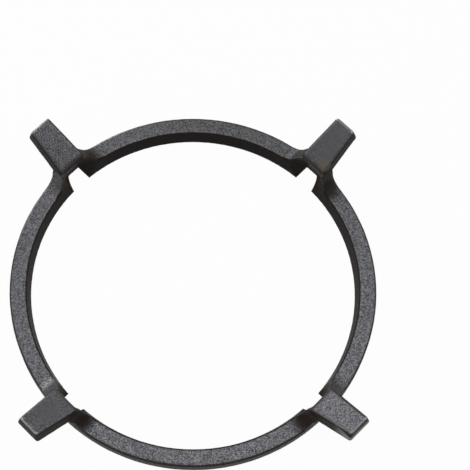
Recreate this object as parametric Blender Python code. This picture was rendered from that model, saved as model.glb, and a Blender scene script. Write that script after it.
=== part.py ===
"""Cast-iron wok ring: a flat band with four rising claws, cast as one piece.

Metres, +Z up. The underside of the band lies on z = 0 and the ring's axis is the Z axis.
The claws stand on +X, +Y, -X and -Y, and each one is modelled on +X and then turned into place.
"""

import math

import bmesh
import bpy
from mathutils import Matrix, Vector

MM = 0.001

# The band
RING_OUTER_RADIUS = 105.2 * MM
RING_TOP_WIDTH = 9.7 * MM
RING_HEIGHT = 9.3 * MM
RING_INNER_DRAFT = math.radians(11.2)
RING_OUTER_DRAFT = math.radians(1.2)
RING_TOP_EDGE_RADIUS = 1.1 * MM
RING_FOOT_EDGE_RADIUS = 0.4 * MM
RING_STEPS = 120

# The claws: a bar that rises outwards, seen from above as a wedge with its wide end inside
CLAW_COUNT = 4
CLAW_SETBACK = 2.3 * MM
CLAW_NOSE_LEAN = math.radians(8.0)
CLAW_ROOT_RISE = 11.9 * MM
CLAW_REACH = 27.1 * MM
CLAW_SLOPE = math.radians(28.4)
CLAW_ROOT_WIDTH = 17.3 * MM
CLAW_TIP_WIDTH = 13.2 * MM
CLAW_DEPTH = 7.5 * MM
CLAW_HEEL_INSET = 1.5 * MM
CLAW_SIDE_DRAFT = math.radians(10.0)
CLAW_END_DRAFT = math.radians(14.0)
CLAW_EDGE_RADIUS = 1.4 * MM
CLAW_NOSE_RADIUS = 3.2 * MM
CLAW_EDGE_STEPS = 3

# The shoulders that spread each claw onto the band
SHOULDER_SPREAD = 32.0 * MM
SHOULDER_DROP = 1.6 * MM
SHOULDER_INSET = 0.3 * MM
SHOULDER_SETBACK = 0.5 * MM
SHOULDER_SINK = 3.0 * MM
SHOULDER_FOOT_SINK = 0.05 * MM
SHOULDER_FOOT_RADIUS = 8.0 * MM
SHOULDER_CORNER_RADIUS = 2.5 * MM
UNDER_FILLET_RADIUS = 5.0 * MM
UNDER_CLAW_SINK = 0.2 * MM

# The hollow worn into the inner side of each claw and of the band below it
SCOOP_RADIUS = 16.0 * MM
SCOOP_FLAT_WIDTH = 12.0 * MM
SCOOP_END_LENGTH = 16.0 * MM
SCOOP_END_TAPER = math.radians(30.0)
SCOOP_STEPS = 48

# The notch under each claw, which sits over a finger of the hob's pan support
SLOT_ROOF_WIDTH = 7.8 * MM
SLOT_MOUTH_WIDTH = 12.4 * MM
SLOT_ROOF_RISE = 0.45 * MM
SLOT_CORNER_RADIUS = 1.0 * MM

ARC_STEPS = 4
OVERSHOOT = 4.0 * MM
SMOOTH_ANGLE = math.radians(35.0)

IRON_COLOUR = (0.045, 0.045, 0.05, 1.0)
IRON_ROUGHNESS = 0.62
IRON_METALLIC = 0.35

# Radii of the band's four edges, as they would be without their rounding
RING_INNER_RADIUS = RING_OUTER_RADIUS - RING_TOP_WIDTH
RING_INNER_FOOT = RING_INNER_RADIUS - RING_HEIGHT * math.tan(RING_INNER_DRAFT)
RING_OUTER_FOOT = RING_OUTER_RADIUS + RING_HEIGHT * math.tan(RING_OUTER_DRAFT)

# The claw's top face, from its inner edge to its tip
CLAW_INNER_RADIUS = RING_INNER_RADIUS + CLAW_SETBACK
CLAW_INNER_TOP = RING_HEIGHT + CLAW_ROOT_RISE
CLAW_TIP_RADIUS = CLAW_INNER_RADIUS + CLAW_REACH
CLAW_TIP_TOP = CLAW_INNER_TOP + CLAW_REACH * math.tan(CLAW_SLOPE)


def clear_scene():
    """Empties the scene."""
    for old in list(bpy.data.objects):
        bpy.data.objects.remove(old, do_unlink=True)


def cast_iron():
    """Makes the dark matt iron of the casting."""
    material = bpy.data.materials.new("cast_iron")
    material.use_nodes = True
    shader = material.node_tree.nodes["Principled BSDF"]
    shader.inputs["Base Color"].default_value = IRON_COLOUR
    shader.inputs["Roughness"].default_value = IRON_ROUGHNESS
    shader.inputs["Metallic"].default_value = IRON_METALLIC
    return material


def rounded_outline(corners, radii, steps=ARC_STEPS):
    """Returns a closed outline in which each corner has become an arc of its own radius.

    A radius of zero leaves its corner sharp.
    """
    points = []
    count = len(corners)
    for i, radius in enumerate(radii):
        corner = Vector(corners[i])
        if radius == 0:
            points.append(corner)
            continue
        to_last = (Vector(corners[i - 1]) - corner).normalized()
        to_next = (Vector(corners[(i + 1) % count]) - corner).normalized()
        half_angle = to_last.angle(to_next) / 2
        tangent = radius / math.tan(half_angle)
        centre = corner + (to_last + to_next).normalized() * radius / math.sin(half_angle)
        start = corner + to_last * tangent - centre
        turn = start.angle_signed(corner + to_next * tangent - centre)
        for step in range(steps + 1):
            points.append(centre + Matrix.Rotation(-turn * step / steps, 2) @ start)
    return points


def turned_solid(outline, steps):
    """Spins a closed outline of (radius, height) points about the Z axis."""
    bm = bmesh.new()
    verts = [bm.verts.new((x, 0, z)) for x, z in outline]
    edges = [bm.edges.new((a, b)) for a, b in zip(verts, verts[1:] + verts[:1])]
    bmesh.ops.spin(
        bm,
        geom=verts + edges,
        cent=(0, 0, 0),
        axis=(0, 0, 1),
        angle=2 * math.pi,
        steps=steps,
        use_merge=True,
    )
    bmesh.ops.recalc_face_normals(bm, faces=bm.faces)
    return bm


def prism(outline, along, start, end):
    """Extrudes a closed outline from start to end along the X or the Z axis.

    The outline's points are (y, z) for a prism along X and (x, y) for one along Z.
    """
    bm = bmesh.new()
    if along == "X":
        verts = [bm.verts.new((start, y, z)) for y, z in outline]
        shift = Vector((end - start, 0, 0))
    else:
        verts = [bm.verts.new((x, y, start)) for x, y in outline]
        shift = Vector((0, 0, end - start))
    face = bm.faces.new(verts)
    extruded = bmesh.ops.extrude_face_region(bm, geom=[face])
    moved = [item for item in extruded["geom"] if isinstance(item, bmesh.types.BMVert)]
    bmesh.ops.translate(bm, verts=moved, vec=shift)
    bmesh.ops.recalc_face_normals(bm, faces=bm.faces)
    return bm


def repeat_at_claws(bm):
    """Copies what stands on +X to each of the other claws."""
    first = list(bm.verts) + list(bm.edges) + list(bm.faces)
    for turn in range(1, CLAW_COUNT):
        copy = bmesh.ops.duplicate(bm, geom=first)
        verts = [item for item in copy["geom"] if isinstance(item, bmesh.types.BMVert)]
        spin = Matrix.Rotation(2 * math.pi * turn / CLAW_COUNT, 3, "Z")
        bmesh.ops.rotate(bm, cent=(0, 0, 0), matrix=spin, verts=verts)
    return bm


def add_object(name, bm):
    """Turns a bmesh into an object whose round faces are shaded smooth."""
    mesh = bpy.data.meshes.new(name)
    bm.to_mesh(mesh)
    bm.free()
    mesh.shade_smooth()
    mesh.set_sharp_from_angle(angle=SMOOTH_ANGLE)
    thing = bpy.data.objects.new(name, mesh)
    bpy.context.collection.objects.link(thing)
    return thing


def add_tool(name, bm):
    """Adds a shape that only serves a boolean."""
    tool = add_object(name, bm)
    tool.hide_render = True
    tool.display_type = "WIRE"
    return tool


def combine(target, tool, operation):
    """Joins a tool to the target, or cuts it from the target."""
    step = target.modifiers.new(f"{operation.lower()}_{tool.name}", "BOOLEAN")
    step.operation = operation
    step.solver = "EXACT"
    step.object = tool


def ring_band():
    """The band: flat on top and below, with an inner wall that leans out towards the top."""
    corners = [
        (RING_INNER_FOOT, 0),
        (RING_OUTER_FOOT, 0),
        (RING_OUTER_RADIUS, RING_HEIGHT),
        (RING_INNER_RADIUS, RING_HEIGHT),
    ]
    radii = [RING_FOOT_EDGE_RADIUS, RING_FOOT_EDGE_RADIUS, RING_TOP_EDGE_RADIUS, RING_TOP_EDGE_RADIUS]
    return turned_solid(rounded_outline(corners, radii), RING_STEPS)


def claw_bar():
    """One claw's bar: a wedge-shaped top face, drafted sides and a drafted end.

    Its inner end goes down to the band as a nose that leans inwards.
    """
    rise = math.tan(CLAW_SLOPE)
    end_lean = math.tan(CLAW_END_DRAFT)
    nose_foot = RING_HEIGHT - SHOULDER_SINK
    tip_foot = CLAW_TIP_TOP - CLAW_DEPTH
    tip_foot_radius = CLAW_TIP_RADIUS + CLAW_DEPTH * end_lean
    heel_radius = RING_OUTER_RADIUS - CLAW_HEEL_INSET
    profile = [
        (CLAW_INNER_RADIUS, CLAW_INNER_TOP),
        (CLAW_TIP_RADIUS, CLAW_TIP_TOP),
        (tip_foot_radius, tip_foot),
        (heel_radius, tip_foot - (tip_foot_radius - heel_radius) * rise),
        (heel_radius, nose_foot),
        (nose_radius(nose_foot), nose_foot),
    ]
    bm = bmesh.new()
    right = [bm.verts.new((x, -claw_half_width(x, z), z)) for x, z in profile]
    left = [bm.verts.new((x, claw_half_width(x, z), z)) for x, z in profile]
    bm.faces.new(right)
    bm.faces.new(left)
    for i in range(len(profile)):
        bm.faces.new((right[i - 1], right[i], left[i], left[i - 1]))
    bmesh.ops.recalc_face_normals(bm, faces=bm.faces)
    mark_rounded_edges(bm, {right[0], left[0]}, set(right[2:] + left[2:]))
    return bm


def mark_rounded_edges(bm, nose, underside):
    """Weighs a bar's edges for the bevel: most on top of the nose, none underneath."""
    weight = bm.edges.layers.float.new("bevel_weight_edge")
    for edge in bm.edges:
        ends = set(edge.verts)
        if ends <= underside:
            continue
        edge[weight] = 1 if ends == nose else CLAW_EDGE_RADIUS / CLAW_NOSE_RADIUS


def claw_bars():
    """All the claw bars, with their marked edges rounded."""
    bars = add_tool("claw_bars", repeat_at_claws(claw_bar()))
    rounding = bars.modifiers.new("rounding", "BEVEL")
    rounding.limit_method = "WEIGHT"
    rounding.width = CLAW_NOSE_RADIUS
    rounding.segments = CLAW_EDGE_STEPS
    return bars


def nose_radius(z):
    """Distance of the claw's leaning inner end from the ring's axis at height z."""
    return CLAW_INNER_RADIUS + (CLAW_INNER_TOP - z) * math.tan(CLAW_NOSE_LEAN)


def claw_half_width(x, z):
    """Half the claw's width at distance x from the ring's axis and height z."""
    share = (x - CLAW_INNER_RADIUS) / CLAW_REACH
    at_top = (CLAW_ROOT_WIDTH + (CLAW_TIP_WIDTH - CLAW_ROOT_WIDTH) * share) / 2
    depth = CLAW_INNER_TOP + (x - CLAW_INNER_RADIUS) * math.tan(CLAW_SLOPE) - z
    return at_top + depth * math.tan(CLAW_SIDE_DRAFT)


def shoulder():
    """The block that spreads one claw onto the band, seen along the claw.

    Each side is a straight slope that runs out onto the band in a concave curve.
    """
    half_spread = SHOULDER_SPREAD / 2
    top = CLAW_INNER_TOP - SHOULDER_DROP
    half_top = CLAW_ROOT_WIDTH / 2 + SHOULDER_DROP * math.tan(CLAW_SIDE_DRAFT) - SHOULDER_SETBACK
    foot = RING_HEIGHT - SHOULDER_SINK
    run_out = RING_HEIGHT - SHOULDER_FOOT_SINK
    half_base = half_spread + SHOULDER_FOOT_RADIUS
    corners = [
        (-half_base, foot),
        (half_base, foot),
        (half_base, run_out),
        (half_spread, run_out),
        (half_top, top),
        (-half_top, top),
        (-half_spread, run_out),
        (-half_base, run_out),
    ]
    radii = [0, 0, 0, SHOULDER_FOOT_RADIUS, 0, 0, SHOULDER_FOOT_RADIUS, 0]
    return prism(rounded_outline(corners, radii), "X", RING_INNER_FOOT, CLAW_TIP_RADIUS)


def shoulder_plan():
    """What the shoulder covers seen from above: the band, and a tongue under the claw.

    A concave curve in each corner leads from the band's outer wall to the claw's side.
    """
    half_base = SHOULDER_SPREAD / 2 + 2 * SHOULDER_FOOT_RADIUS
    half_tongue = CLAW_ROOT_WIDTH / 2
    corners = [
        (RING_INNER_FOOT - OVERSHOOT, -half_base),
        (RING_OUTER_RADIUS, -half_base),
        (RING_OUTER_RADIUS, -half_tongue),
        (CLAW_TIP_RADIUS + OVERSHOOT, -half_tongue),
        (CLAW_TIP_RADIUS + OVERSHOOT, half_tongue),
        (RING_OUTER_RADIUS, half_tongue),
        (RING_OUTER_RADIUS, half_base),
        (RING_INNER_FOOT - OVERSHOOT, half_base),
    ]
    radii = [0, 0, SHOULDER_CORNER_RADIUS, 0, 0, SHOULDER_CORNER_RADIUS, 0, 0]
    return prism(rounded_outline(corners, radii), "Z", 0, CLAW_TIP_TOP)


def shoulder_bore():
    """What a plumb wall just behind the band's inner top edge takes off the shoulders."""
    core = RING_INNER_FOOT / 2
    wall = RING_INNER_RADIUS + SHOULDER_SETBACK
    outline = [
        (core, -OVERSHOOT),
        (wall, -OVERSHOOT),
        (wall, CLAW_TIP_TOP),
        (core, CLAW_TIP_TOP),
    ]
    return turned_solid(outline, RING_STEPS)


def under_claw():
    """The space outside the band and under the claws, with a round fillet where the two meet.

    Its top lies a little inside the claws, so that it takes nothing off their undersides.
    """
    rise = math.tan(CLAW_SLOPE)
    wall = RING_OUTER_RADIUS - SHOULDER_INSET
    foot_radius = CLAW_TIP_RADIUS + CLAW_DEPTH * math.tan(CLAW_END_DRAFT)
    foot = CLAW_TIP_TOP - CLAW_DEPTH + UNDER_CLAW_SINK
    far = foot_radius + OVERSHOOT
    corners = [
        (wall, -OVERSHOOT),
        (far, -OVERSHOOT),
        (far, foot + (far - foot_radius) * rise),
        (wall, foot - (foot_radius - wall) * rise),
    ]
    return turned_solid(rounded_outline(corners, [0, 0, 0, UNDER_FILLET_RADIUS]), RING_STEPS)


def scoop():
    """A drum that lies across the claw, with conical ends, and hollows the claw's inner side.

    Its round starts at the band's inner foot, where the conical ends begin, and passes through the
    edge between the slot's roof and the claw's nose.
    """
    half_flat = SCOOP_FLAT_WIDTH / 2
    slot_roof = RING_HEIGHT + SLOT_ROOF_RISE
    low = Vector((math.sqrt(RING_INNER_FOOT**2 - half_flat**2), 0))
    high = Vector((nose_radius(slot_roof), slot_roof))
    chord = high - low
    across = Vector((-chord.y, chord.x)).normalized()
    centre = (low + high) / 2 + across * math.sqrt(SCOOP_RADIUS**2 - (chord.length / 2) ** 2)
    half_length = half_flat + SCOOP_END_LENGTH
    end_radius = SCOOP_RADIUS - SCOOP_END_LENGTH * math.tan(SCOOP_END_TAPER)
    outline = [
        (-half_length, end_radius),
        (-half_flat, SCOOP_RADIUS),
        (half_flat, SCOOP_RADIUS),
        (half_length, end_radius),
    ]
    bm = bmesh.new()
    verts = [bm.verts.new((0, y, r)) for y, r in outline]
    edges = [bm.edges.new((a, b)) for a, b in zip(verts, verts[1:])]
    bmesh.ops.spin(
        bm,
        geom=verts + edges,
        cent=(0, 0, 0),
        axis=(0, 1, 0),
        angle=2 * math.pi,
        steps=SCOOP_STEPS,
        use_merge=True,
    )
    bmesh.ops.holes_fill(bm, edges=[edge for edge in bm.edges if edge.is_boundary])
    bmesh.ops.translate(bm, verts=bm.verts, vec=(centre.x, 0, centre.y))
    bmesh.ops.recalc_face_normals(bm, faces=bm.faces)
    return bm


def slot():
    """The notch under one claw, right through the band, wider at its mouth than at its roof."""
    roof = RING_HEIGHT + SLOT_ROOF_RISE
    half_roof = SLOT_ROOF_WIDTH / 2
    half_mouth = SLOT_MOUTH_WIDTH / 2
    half_below = half_mouth + (half_mouth - half_roof) * OVERSHOOT / roof
    corners = [
        (-half_below, -OVERSHOOT),
        (half_below, -OVERSHOOT),
        (half_roof, roof),
        (-half_roof, roof),
    ]
    outline = rounded_outline(corners, [0, 0, SLOT_CORNER_RADIUS, SLOT_CORNER_RADIUS])
    return prism(outline, "X", RING_INNER_FOOT - OVERSHOOT, CLAW_TIP_RADIUS)


def wok_ring():
    """Joins the band, the shoulders and the claws, then hollows and notches them."""
    ring = add_object("wok_ring", ring_band())
    ring.data.materials.append(cast_iron())
    shoulders = add_tool("shoulders", repeat_at_claws(shoulder()))
    combine(shoulders, add_tool("shoulder_plans", repeat_at_claws(shoulder_plan())), "INTERSECT")
    combine(shoulders, add_tool("shoulder_bore", shoulder_bore()), "DIFFERENCE")
    combine(shoulders, add_tool("under_claw", under_claw()), "DIFFERENCE")
    combine(ring, shoulders, "UNION")
    combine(ring, claw_bars(), "UNION")
    combine(ring, add_tool("scoops", repeat_at_claws(scoop())), "DIFFERENCE")
    combine(ring, add_tool("slots", repeat_at_claws(slot())), "DIFFERENCE")


clear_scene()
wok_ring()
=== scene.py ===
"""Looks of the cast-iron wok ring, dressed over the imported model."""

import math

import bmesh
import bpy
from mathutils import Matrix, Vector


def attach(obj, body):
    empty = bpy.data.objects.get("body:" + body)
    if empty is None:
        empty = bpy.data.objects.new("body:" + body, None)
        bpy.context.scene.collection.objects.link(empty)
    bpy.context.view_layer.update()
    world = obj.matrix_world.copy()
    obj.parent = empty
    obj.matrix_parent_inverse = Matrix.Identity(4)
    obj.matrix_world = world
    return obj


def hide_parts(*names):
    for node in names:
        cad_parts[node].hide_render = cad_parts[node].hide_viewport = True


MM = 0.001
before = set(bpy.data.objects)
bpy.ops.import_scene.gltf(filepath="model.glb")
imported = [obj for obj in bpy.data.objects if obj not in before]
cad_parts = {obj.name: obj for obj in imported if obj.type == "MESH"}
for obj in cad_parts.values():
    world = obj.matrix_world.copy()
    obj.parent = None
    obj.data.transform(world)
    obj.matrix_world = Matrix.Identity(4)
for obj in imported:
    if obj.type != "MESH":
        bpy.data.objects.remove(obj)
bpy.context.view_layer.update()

# The camera, which looks at the centre of the band's top; sensor and lens are in millimetres
SENSOR_WIDTH = 36.0
LENS = 99.77
SHIFT = (0.0891, 0.1059)
CLIP_START = 10 * MM
CAMERA_DISTANCE = 746.8 * MM
CAMERA_ELEVATION = math.radians(71.46)
CAMERA_HEADING = math.radians(43.94)
CAMERA_ROLL = math.radians(-0.93)
BAND_TOP = 9.3 * MM

# The floor: half its side, its drop below the ring, its grey and how white the camera sees it
FLOOR_REACH = 6.0
FLOOR_DROP = 0.12 * MM
FLOOR_GREY = 0.75
FLOOR_WHITENESS = 0.97

# The casting's skin: how finely it is remeshed and how far its edges are softened
REMESH_DEPTH = 9
REMESH_SCALE = 0.75
SMOOTH_PASSES = 1
SMOOTH_SHARE = 0.5

# The claws' inner ends, which are softened further, and the shoulders beside them
NOSE_PASSES = 24
NOSE_RADIUS = 97.5 * MM
NOSE_HEIGHT = 18.5 * MM
NOSE_HALF_WIDTH = 9.0 * MM
NOSE_REACH = 6.0 * MM
SHOULDER_RADIUS = 95.5 * MM
SHOULDER_HEIGHT = 10.5 * MM
SHOULDER_PLACE = 10.0 * MM
SHOULDER_REACH = 4.5 * MM

# The uneven surface that sand casting leaves
RELIEF_DETAIL = 1
SWELL_HEIGHT = 0.14 * MM
SWELL_SIZE = 9.0 * MM
PIT_HEIGHT = 0.07 * MM
PIT_SIZE = 1.6 * MM

# The finish's blotches, specks and grain: size, detail and roughness of each noise
BLOTCHES = (14.0 * MM, 4.0, 0.6)
SPECKS = (0.75 * MM, 2.0, 0.7)
GRAIN = (0.45 * MM, 3.0, 0.7)

# Colours of the iron, in linear red, green and blue
# Painted shade: the darkest colour, for the inner walls and the scoops
WALL_SHADED = (0.012, 0.009, 0.007)
WALL_DARK = (0.030, 0.026, 0.021)
WALL_OLIVE = (0.048, 0.041, 0.029)
SLOPE_BROWN = (0.030, 0.022, 0.017)
NOSE_BROWN = (0.070, 0.064, 0.058)
INSIDE_OLIVE = (0.062, 0.056, 0.045)
TOP_DARK = (0.062, 0.062, 0.068)
TOP_LIGHT = (0.28, 0.28, 0.30)
WORN_GREY = (0.50, 0.50, 0.51)
WORN_BEIGE = (0.20, 0.165, 0.12)
# Painted light: the grey of one claw's lit tip
LIT_TIP_GREY = (0.50, 0.50, 0.48)

# Spots on the casting: angle about the axis in degrees, radius, height and reach
# Painted light: grey like the tops on the shoulders on each claw's lit side
LIT_SHOULDER_SPOTS = (
    (188, 100 * MM, 13 * MM, 15 * MM),
    (8, 100 * MM, 13 * MM, 15 * MM),
    (262, 100 * MM, 13 * MM, 13 * MM),
)
POLISHED_TOPS = (
    (90, 113 * MM, 29 * MM, 22 * MM),
    (270, 111 * MM, 28 * MM, 12 * MM),
)
# Painted shadow: dark on the shoulders on each claw's shaded side
SHADOW_SPOTS = (
    (173.5, 99 * MM, 12 * MM, 11.5 * MM),
    (353.5, 101 * MM, 11 * MM, 12 * MM),
    (276.5, 100 * MM, 11 * MM, 10.5 * MM),
    (81, 99 * MM, 12 * MM, 10 * MM),
)
NOSE_SPOTS = (
    (0, 95 * MM, 25 * MM, 15 * MM),
    (90, 95 * MM, 25 * MM, 15 * MM),
    (180, 95 * MM, 27 * MM, 13 * MM),
    (270, 95 * MM, 25 * MM, 15 * MM),
)
CLAW_ANGLES = (0, 90, 180, 270)
INNER_SPOTS = tuple((angle, 100 * MM, 12 * MM, 12 * MM) for angle in CLAW_ANGLES)
# Painted shade in the scoops under two claws
SCOOP_SPOTS = ((180, 100 * MM, 12 * MM, 10.5 * MM), (90, 100 * MM, 12 * MM, 9.5 * MM))
INSIDE_SPOTS = ((9, 99 * MM, 8 * MM, 11 * MM), (261, 99 * MM, 8 * MM, 11 * MM))
# Painted shade: the far arc's tops are duller
SHADED_FAR_SPOT = (118, 105 * MM, 18 * MM, 75 * MM)
# Painted light: the lit face of the tip of the claw on plus X
LIT_TIP = (359, 127 * MM, 29 * MM, 15 * MM)
STREAK_SPOT = (261, 100 * MM, 10 * MM, 6 * MM)
BEIGE_SPOT = (86.5, 102.5 * MM, 23.5 * MM, 4.5 * MM)

# The share of its reach over which a spot is whole
SPOT_CORE = 0.3

# The levels between which a mask fades
FADE_IN = (0.0, 1.0)
FADE_OUT = (1.0, 0.0)

# In the groups below, a pair is the range of a value over which a mask fades, and one whose name
# ends in LEVEL or STRENGTH holds the two levels instead. A slope is how far a face looks up, and a
# facing how far it looks away from the axis, up to one. A share is how strongly a mask works.

# Faces that are worn grey by rubbing, and also painted light where they look up: how far a blotch adds to
# the slope, and where the slope tells
BLOTCH_TILT = 0.15
RUBBED_AND_LIT_SLOPE = (0.50, 1.0)
# Painted light on the lit shoulders, grey like the tops
LIT_SHOULDER_SLOPE = (0.30, 0.75)
LIT_SHOULDER_SHARE = 0.7
# Painted shade: how dull the far arc's tops become
SHADED_FAR_LEVEL = (1.0, 0.86)

# Painted shade on the rounded edges that look towards the ring's shaded side, whose facing and distance are
# measured towards that side
SHADED_SIDE_TURN = math.radians(32)
SHADED_EDGE_FACING = (0.20, 0.40)
SHADED_EDGE_SLOPE = (0.86, 0.96)
SHADED_EDGE_DISTANCE = (-80 * MM, -50 * MM)
SHADED_EDGE_POINTINESS = (0.505, 0.52)
SHADED_EDGE_SHARE = 0.75

# Painted shadow beside the claws, painted shade on the band's outer edge away from the lit claw, and
# painted shade on its slopes inside
SHADOW_SHARE = 0.9
SHADED_RIM_FACING = (0.10, 0.30)
SHADED_RIM_HEIGHT = (10 * MM, 12 * MM)
SHADED_RIM_PLACE = (-100 * MM, -85 * MM)
SHADED_RIM_SHARE = 0.85
SHADED_INSIDE_FACING = (-0.40, -0.15)
SHADED_INSIDE_HEIGHT = (10.5 * MM, 13 * MM)

# Edges of the claws that are worn bright, the worn outer rims and a rubbed streak on the band
WORN_POINTINESS = (0.510, 0.57)
WORN_SLOPE = (0.45, 0.85)
WORN_HEIGHT = (21 * MM, 24 * MM)
WORN_SHARE = 0.8
WORN_RIM_SLOPE = (0.45, 0.75)
WORN_RIM_FACING = (0.15, 0.40)
WORN_RIM_HEIGHT = (11 * MM, 14 * MM)
WORN_RIM_LEVEL = (0.4, 1.0)
WORN_RIM_SPECKS = (0.30, 0.55)
WORN_RIM_SPECK_LEVEL = (0.5, 1.0)
STREAK_SPECKS = (0.35, 0.60)
STREAK_SHARE = 0.5

# The walls' colours
OLIVE_BLOTCHES = (0.42, 0.62)
OUTER_FACING = (-0.2, 0.2)
BROWN_SLOPE = (0.15, 0.45)
NOSE_SHARE = 0.8
SCOOP_SHARE = 0.9

# The tops' specks, which polish evens out, the painted light on one tip and the beige spot
TOP_SPECKS = (0.30, 0.72)
POLISH_SHARE = 0.7
POLISHED_SPECKLE = 0.45
TIP_SLOPE = (0.3, 0.5)
TIP_HEIGHT = (30 * MM, 32 * MM)
TIP_SHARE = 0.8
BEIGE_SHARE = 0.7

# Gloss and relief
BARE_METALLIC = 0.75
MATT_SPECKS = (0.3, 0.7)
MATT_LEVEL = (0.58, 0.42)
WORN_SMOOTHNESS = 0.20
SPECULAR_LEVEL = 0.05
BUMP_HEIGHT = 0.12 * MM
BUMP_STRENGTH = (0.9, 0.45)
BUMP_GRAIN = 0.6

# Lamps: right, away and up from the ring's middle, side and brightness
LAMPS = {
    "top": (0.0, -0.25, 1.2, 1.2, 0.3),
    "over": (0.0, 0.1, 1.3, 0.5, 4.5),
    "left": (-1.0, 0.1, 0.35, 0.8, 1.3),
    "right": (1.0, 0.1, 0.35, 0.8, 0.6),
    "high_right": (0.7, 0.1, 0.9, 0.5, 2.0),
    "far_left": (-0.55, 0.9, 0.45, 0.4, 8.0),
    "far_right": (0.55, 0.9, 0.45, 0.4, 2.0),
    "near_left": (-0.75, -0.65, 0.3, 0.5, 1.0),
}
SURROUND = 0.06

# Directions seen from the camera's place over the floor
RIGHT = Vector((math.cos(CAMERA_HEADING), math.sin(CAMERA_HEADING), 0))
AWAY = Vector((-math.sin(CAMERA_HEADING), math.cos(CAMERA_HEADING), 0))
UP = Vector((0, 0, 1))
# The side of the ring whose edges are given painted shade
SHADED_SIDE = AWAY * math.cos(SHADED_SIDE_TURN) + RIGHT * math.sin(SHADED_SIDE_TURN)


class Nodes:
    """Short calls for building one node tree."""

    def __init__(self, tree):
        self.tree = tree

    def add(self, kind, **settings):
        """Adds a node of this kind and sets its named properties."""
        node = self.tree.nodes.new(kind)
        for name, value in settings.items():
            setattr(node, name, value)
        return node

    def link(self, source, target):
        self.tree.links.new(source, target)

    def noise(self, coordinates, size, detail, roughness):
        """A noise whose blobs are about as large as size."""
        node = self.add("ShaderNodeTexNoise")
        node.inputs["Scale"].default_value = 1 / size
        node.inputs["Detail"].default_value = detail
        node.inputs["Roughness"].default_value = roughness
        self.link(coordinates, node.inputs["Vector"])
        return node.outputs["Fac"]

    def range(self, value, span, levels=FADE_IN):
        """Takes a value smoothly from one level to the other over a span, and holds it there."""
        node = self.add("ShaderNodeMapRange", interpolation_type="SMOOTHSTEP")
        for socket, number in zip(node.inputs[1:5], (*span, *levels)):
            socket.default_value = number
        self.link(value, node.inputs["Value"])
        return node.outputs["Result"]

    def math(self, operation, first, second):
        """Joins two values, each a socket or a number."""
        node = self.add("ShaderNodeMath", operation=operation)
        for socket, value in zip(node.inputs, (first, second)):
            if isinstance(value, (int, float)):
                socket.default_value = value
            else:
                self.link(value, socket)
        return node.outputs["Value"]

    def product(self, first, *others):
        """Multiplies values with one another."""
        for other in others:
            first = self.math("MULTIPLY", first, other)
        return first

    def highest(self, first, *others):
        """The highest of several values."""
        for other in others:
            first = self.math("MAXIMUM", first, other)
        return first

    def dot(self, first, direction):
        """How far a vector points along a direction, which is a vector or a socket."""
        node = self.add("ShaderNodeVectorMath", operation="DOT_PRODUCT")
        self.link(first, node.inputs[0])
        if isinstance(direction, Vector):
            node.inputs[1].default_value = direction
        else:
            self.link(direction, node.inputs[1])
        return node.outputs["Value"]

    def split(self, vector):
        """The outputs X, Y and Z of a vector."""
        node = self.add("ShaderNodeSeparateXYZ")
        self.link(vector, node.inputs["Vector"])
        return node.outputs

    def mix(self, share, first, second):
        """Mixes two colours, each a socket or a colour."""
        node = self.add("ShaderNodeMix", data_type="RGBA")
        for name, value in (("A", first), ("B", second)):
            socket = next(s for s in node.inputs if s.name == name and s.type == "RGBA")
            if isinstance(value, tuple):
                socket.default_value = (*value, 1.0)
            else:
                self.link(value, socket)
        share_socket = next(s for s in node.inputs if s.name == "Factor" and s.type == "VALUE")
        self.link(share, share_socket)
        return next(s for s in node.outputs if s.type == "RGBA")


class Casting:
    """The values that the finish is painted by: places, directions, edges and noises."""

    def __init__(self, nodes):
        self.nodes = nodes
        coordinates = nodes.add("ShaderNodeTexCoord")
        self.place = coordinates.outputs["Object"]
        self.normal = coordinates.outputs["Normal"]
        self.slope = nodes.split(self.normal)["Z"]
        self.facing = self.facing_outwards()
        axes = nodes.split(self.place)
        self.along_x = axes["X"]
        self.height = axes["Z"]
        self.pointed = nodes.add("ShaderNodeNewGeometry").outputs["Pointiness"]
        self.blotch = nodes.noise(self.place, *BLOTCHES)
        self.speck = nodes.noise(self.place, *SPECKS)
        self.grain = nodes.noise(self.place, *GRAIN)

    def facing_outwards(self):
        """How far a face looks away from the ring's axis, from minus one to one."""
        flat = self.nodes.add("ShaderNodeVectorMath", operation="MULTIPLY")
        flat.inputs[1].default_value = (1, 1, 0)
        self.nodes.link(self.place, flat.inputs[0])
        outward = self.nodes.add("ShaderNodeVectorMath", operation="NORMALIZE")
        self.nodes.link(flat.outputs["Vector"], outward.inputs[0])
        return self.nodes.dot(self.normal, outward.outputs["Vector"])

    def spot(self, angle, radius, height, reach):
        """One at a spot on the casting, and nought beyond its reach."""
        turn = math.radians(angle)
        distance = self.nodes.add("ShaderNodeVectorMath", operation="DISTANCE")
        distance.inputs[1].default_value = (radius * math.cos(turn), radius * math.sin(turn), height)
        self.nodes.link(self.place, distance.inputs[0])
        return self.nodes.range(distance.outputs["Value"], (SPOT_CORE * reach, reach), FADE_OUT)

    def spots(self, spots):
        """One at any of several spots."""
        return self.nodes.highest(*(self.spot(*spot) for spot in spots))


def shaded_edges(nodes, casting):
    """Painted shade: one at the rounded edges that look towards the ring's shaded side."""
    return nodes.product(
        nodes.range(nodes.dot(casting.normal, SHADED_SIDE), SHADED_EDGE_FACING),
        nodes.range(casting.slope, SHADED_EDGE_SLOPE, FADE_OUT),
        nodes.range(nodes.dot(casting.place, SHADED_SIDE), SHADED_EDGE_DISTANCE),
        nodes.range(casting.pointed, SHADED_EDGE_POINTINESS),
    )


def shaded_rim(nodes, casting):
    """Painted shade: one on the band's outer edge, save beside the lit claw on minus X."""
    return nodes.product(
        nodes.range(casting.facing, SHADED_RIM_FACING),
        nodes.range(casting.height, SHADED_RIM_HEIGHT, FADE_OUT),
        nodes.range(casting.along_x, SHADED_RIM_PLACE),
    )


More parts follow.
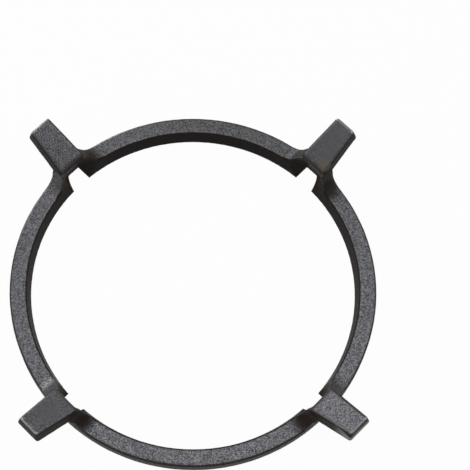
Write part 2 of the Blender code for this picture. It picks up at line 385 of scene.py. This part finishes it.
def shaded_inside(nodes, casting):
    """Painted shade: one on the band's slopes that look towards the axis."""
    return nodes.product(
        nodes.range(casting.facing, SHADED_INSIDE_FACING, FADE_OUT),
        nodes.range(casting.height, SHADED_INSIDE_HEIGHT, FADE_OUT),
    )


def unshaded_mask(nodes, casting):
    """Nought where shade and shadow are painted on the casting, and one elsewhere."""
    painted_shade = nodes.highest(
        nodes.product(casting.spots(SHADOW_SPOTS), SHADOW_SHARE),
        nodes.product(shaded_edges(nodes, casting), SHADED_EDGE_SHARE),
        nodes.product(shaded_rim(nodes, casting), SHADED_RIM_SHARE),
        shaded_inside(nodes, casting),
    )
    return nodes.math("SUBTRACT", 1.0, painted_shade)


def rubbed_and_lit_mask(nodes, casting, unshaded):
    """One where the iron is grey, worn by rubbing and painted lit where it looks up, with painted light on
    the lit shoulders and painted shade dulling the far arc.
    """
    slope = nodes.math("ADD", casting.slope, nodes.product(casting.blotch, BLOTCH_TILT))
    shoulders = nodes.product(
        nodes.range(slope, LIT_SHOULDER_SLOPE),
        casting.spots(LIT_SHOULDER_SPOTS),
        LIT_SHOULDER_SHARE,
    )
    rubbed_and_lit = nodes.highest(nodes.range(slope, RUBBED_AND_LIT_SLOPE), shoulders)
    above_scoops = nodes.math("SUBTRACT", 1.0, casting.spots(INNER_SPOTS))
    shaded_far = nodes.range(casting.spot(*SHADED_FAR_SPOT), FADE_IN, SHADED_FAR_LEVEL)
    return nodes.product(rubbed_and_lit, unshaded, above_scoops, shaded_far)


def worn_mask(nodes, casting, unshaded):
    """One where the iron is worn bright: the claws' edges, outer rims and one streak on the band."""
    edges = nodes.product(
        nodes.range(casting.pointed, WORN_POINTINESS),
        nodes.range(casting.slope, WORN_SLOPE),
        nodes.range(casting.height, WORN_HEIGHT),
    )
    rims = nodes.product(
        nodes.range(casting.slope, WORN_RIM_SLOPE),
        nodes.range(casting.facing, WORN_RIM_FACING),
        nodes.range(casting.height, WORN_RIM_HEIGHT, WORN_RIM_LEVEL),
        nodes.range(casting.speck, WORN_RIM_SPECKS, WORN_RIM_SPECK_LEVEL),
    )
    streak = nodes.product(
        casting.spot(*STREAK_SPOT),
        nodes.range(casting.speck, STREAK_SPECKS),
        STREAK_SHARE,
    )
    return nodes.highest(nodes.product(nodes.highest(edges, rims), unshaded), streak)


def wall_colour(nodes, casting):
    """Dark and olive outer walls, inner walls and scoops darkened by painted shade, browner slopes and
    noses.
    """
    wall = nodes.mix(nodes.range(casting.blotch, OLIVE_BLOTCHES), WALL_DARK, WALL_OLIVE)
    wall = nodes.mix(nodes.range(casting.facing, OUTER_FACING), WALL_SHADED, wall)
    wall = nodes.mix(nodes.range(casting.slope, BROWN_SLOPE), wall, SLOPE_BROWN)
    wall = nodes.mix(nodes.product(casting.spots(NOSE_SPOTS), NOSE_SHARE), wall, NOSE_BROWN)
    inward = nodes.range(casting.facing, OUTER_FACING, FADE_OUT)
    wall = nodes.mix(nodes.product(casting.spots(INSIDE_SPOTS), inward), wall, INSIDE_OLIVE)
    return nodes.mix(nodes.product(casting.spots(SCOOP_SPOTS), SCOOP_SHARE), wall, WALL_SHADED)


def top_colour(nodes, casting, polish):
    """Speckled grey, more even where it is polished."""
    even = nodes.product(polish, POLISH_SHARE)
    speckled = nodes.product(nodes.range(casting.speck, TOP_SPECKS), nodes.math("SUBTRACT", 1.0, even))
    speckle = nodes.math("ADD", speckled, nodes.product(even, POLISHED_SPECKLE))
    return nodes.mix(speckle, TOP_DARK, TOP_LIGHT)


def skin_colour(nodes, casting, rubbed_and_lit, worn, polish):
    """The walls' and tops' colours with worn edges, painted light on one tip and one beige spot."""
    skin = nodes.mix(rubbed_and_lit, wall_colour(nodes, casting), top_colour(nodes, casting, polish))
    skin = nodes.mix(nodes.product(worn, WORN_SHARE), skin, WORN_GREY)
    # Painted light on the lit face of one claw's tip
    lit_tip = nodes.product(
        casting.spot(*LIT_TIP),
        nodes.range(casting.slope, TIP_SLOPE, FADE_OUT),
        nodes.range(casting.height, TIP_HEIGHT, FADE_OUT),
        TIP_SHARE,
    )
    skin = nodes.mix(lit_tip, skin, LIT_TIP_GREY)
    return nodes.mix(nodes.product(casting.spot(*BEIGE_SPOT), BEIGE_SHARE), skin, WORN_BEIGE)


def skin_roughness(nodes, casting, worn):
    """Uneven by the specks, and smoother where the iron is worn."""
    matt = nodes.range(casting.speck, MATT_SPECKS, MATT_LEVEL)
    return nodes.math("SUBTRACT", matt, nodes.product(worn, WORN_SMOOTHNESS))


def skin_relief(nodes, casting, polish):
    """The bump of specks and grain, shallower where the iron is polished."""
    bump = nodes.add("ShaderNodeBump")
    bump.inputs["Distance"].default_value = BUMP_HEIGHT
    nodes.link(nodes.range(polish, FADE_IN, BUMP_STRENGTH), bump.inputs["Strength"])
    relief = nodes.math("ADD", casting.speck, nodes.product(casting.grain, BUMP_GRAIN))
    nodes.link(relief, bump.inputs["Height"])
    return bump.outputs["Normal"]


def cast_iron():
    """Sand-cast iron: dark walls and slopes, greyer tops worn by rubbing and painted lit, painted shade and
    shadow, grain and bright worn edges.
    """
    material = bpy.data.materials.new("cast_iron_skin")
    material.use_nodes = True
    nodes = Nodes(material.node_tree)
    casting = Casting(nodes)
    unshaded = unshaded_mask(nodes, casting)
    rubbed_and_lit = rubbed_and_lit_mask(nodes, casting, unshaded)
    worn = worn_mask(nodes, casting, unshaded)
    polish = casting.spots(POLISHED_TOPS)
    shader = material.node_tree.nodes["Principled BSDF"]
    shader.inputs["Specular IOR Level"].default_value = SPECULAR_LEVEL
    nodes.link(skin_colour(nodes, casting, rubbed_and_lit, worn, polish), shader.inputs["Base Color"])
    nodes.link(nodes.product(nodes.highest(rubbed_and_lit, worn), BARE_METALLIC), shader.inputs["Metallic"])
    nodes.link(skin_roughness(nodes, casting, worn), shader.inputs["Roughness"])
    nodes.link(skin_relief(nodes, casting, polish), shader.inputs["Normal"])
    return material


def add_noise_relief(piece, name, size, height):
    """Moves the skin in and out by a cloud noise."""
    texture = bpy.data.textures.new(name, "CLOUDS")
    texture.noise_scale = size
    texture.noise_depth = RELIEF_DETAIL
    relief = piece.modifiers.new(name, "DISPLACE")
    relief.texture = texture
    relief.texture_coords = "LOCAL"
    relief.strength = height


def remesh_finely(piece):
    """Gives the piece an even fine mesh that keeps its sharp edges."""
    remesh = piece.modifiers.new("remesh", "REMESH")
    remesh.mode = "SHARP"
    remesh.octree_depth = REMESH_DEPTH
    remesh.scale = REMESH_SCALE
    remesh.use_smooth_shade = True
    piece.data = bpy.data.meshes.new_from_object(piece.evaluated_get(bpy.context.evaluated_depsgraph_get()))
    piece.modifiers.clear()


def nose_weight(point):
    """One on the inner ends of a claw and its shoulders, and nought beyond their reach."""
    along = max(abs(point.x), abs(point.y))
    across = min(abs(point.x), abs(point.y))
    from_nose = Vector((along - NOSE_RADIUS, max(across - NOSE_HALF_WIDTH, 0.0), point.z - NOSE_HEIGHT))
    from_shoulder = Vector((along - SHOULDER_RADIUS, across - SHOULDER_PLACE, point.z - SHOULDER_HEIGHT))
    nearness = min(from_nose.length / NOSE_REACH, from_shoulder.length / SHOULDER_REACH)
    return max(0.0, 1.0 - nearness**2)


def soften(piece, name, passes):
    """Adds a smoothing of the piece's edges."""
    smooth = piece.modifiers.new(name, "SMOOTH")
    smooth.iterations = passes
    smooth.factor = SMOOTH_SHARE
    return smooth


def soften_noses(piece):
    """Rounds the inner ends of the claws into the scoops and shoulders."""
    group = piece.vertex_groups.new(name="noses")
    for vertex in piece.data.vertices:
        weight = nose_weight(vertex.co)
        if weight > 0.0:
            group.add([vertex.index], weight, "REPLACE")
    soften(piece, "noses", NOSE_PASSES).vertex_group = group.name


def cast_skin():
    """The ring's own skin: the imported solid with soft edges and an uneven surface."""
    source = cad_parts["wok_ring"]
    piece = bpy.data.objects.new("wok_ring_cast", source.data.copy())
    bpy.context.scene.collection.objects.link(piece)
    piece.matrix_world = source.matrix_world.copy()
    piece.data.materials.clear()
    piece.data.materials.append(cast_iron())
    remesh_finely(piece)
    soften_noses(piece)
    soften(piece, "soften", SMOOTH_PASSES)
    add_noise_relief(piece, "swell", SWELL_SIZE, SWELL_HEIGHT)
    add_noise_relief(piece, "pits", PIT_SIZE, PIT_HEIGHT)
    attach(piece, "root")
    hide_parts("wok_ring")


def pale_floor():
    """Matt pale floor, mostly white where the camera or a reflection sees it."""
    material = bpy.data.materials.new("pale_floor")
    material.use_nodes = True
    nodes = Nodes(material.node_tree)
    shader = material.node_tree.nodes["Principled BSDF"]
    shader.inputs["Base Color"].default_value = (FLOOR_GREY, FLOOR_GREY, FLOOR_GREY, 1)
    shader.inputs["Roughness"].default_value = 1.0
    shader.inputs["Specular IOR Level"].default_value = 0.0
    white = nodes.add("ShaderNodeEmission")
    white.inputs["Strength"].default_value = 1.0
    rays = nodes.add("ShaderNodeLightPath").outputs
    seen = nodes.highest(rays["Is Camera Ray"], rays["Is Glossy Ray"], rays["Is Transmission Ray"])
    blend = nodes.add("ShaderNodeMixShader")
    nodes.link(nodes.product(seen, FLOOR_WHITENESS), blend.inputs["Fac"])
    nodes.link(shader.outputs["BSDF"], blend.inputs[1])
    nodes.link(white.outputs["Emission"], blend.inputs[2])
    output = next(n for n in material.node_tree.nodes if n.type == "OUTPUT_MATERIAL")
    nodes.link(blend.outputs["Shader"], output.inputs["Surface"])
    return material


def floor():
    """A plain pale floor that shows white to the camera and keeps a soft shadow."""
    bm = bmesh.new()
    bmesh.ops.create_grid(bm, x_segments=1, y_segments=1, size=FLOOR_REACH)
    mesh = bpy.data.meshes.new("floor")
    bm.to_mesh(mesh)
    bm.free()
    mesh.materials.append(pale_floor())
    plane = bpy.data.objects.new("floor", mesh)
    plane.location.z = -FLOOR_DROP
    bpy.context.scene.collection.objects.link(plane)


def softbox(name, right, away, up, size, brightness):
    """A square lamp that looks at the ring; its brightness is that of a white page of the same glow."""
    lamp = bpy.data.lights.new(name, "AREA")
    lamp.shape = "SQUARE"
    lamp.size = size
    lamp.energy = brightness * math.pi * size**2
    place = RIGHT * right + AWAY * away + UP * up
    thing = bpy.data.objects.new(name, lamp)
    thing.location = place
    thing.rotation_euler = (-place).to_track_quat("-Z", "Y").to_euler()
    bpy.context.scene.collection.objects.link(thing)


def lights():
    """Soft lamps around the ring and a faint even surround."""
    for name, settings in LAMPS.items():
        softbox(name, *settings)
    world = bpy.data.worlds.new("surround")
    world.use_nodes = True
    background = world.node_tree.nodes["Background"]
    background.inputs["Color"].default_value = (1, 1, 1, 1)
    background.inputs["Strength"].default_value = SURROUND
    bpy.context.scene.world = world


def camera():
    """The camera at the photograph's place."""
    lens = bpy.data.cameras.new("camera")
    lens.sensor_width = SENSOR_WIDTH
    lens.lens = LENS
    lens.shift_x, lens.shift_y = SHIFT
    lens.clip_start = CLIP_START
    target = Vector((0, 0, BAND_TOP))
    back = -AWAY * math.cos(CAMERA_ELEVATION) + UP * math.sin(CAMERA_ELEVATION)
    camera_up = AWAY * math.sin(CAMERA_ELEVATION) + UP * math.cos(CAMERA_ELEVATION)
    turn = Matrix((RIGHT, camera_up, back)).transposed() @ Matrix.Rotation(-CAMERA_ROLL, 3, "Z")
    thing = bpy.data.objects.new("camera", lens)
    thing.matrix_world = Matrix.Translation(target + back * CAMERA_DISTANCE) @ turn.to_4x4()
    bpy.context.scene.collection.objects.link(thing)
    bpy.context.scene.camera = thing


camera()
cast_skin()
floor()
lights()
bpy.context.scene.view_settings.view_transform = "Standard"
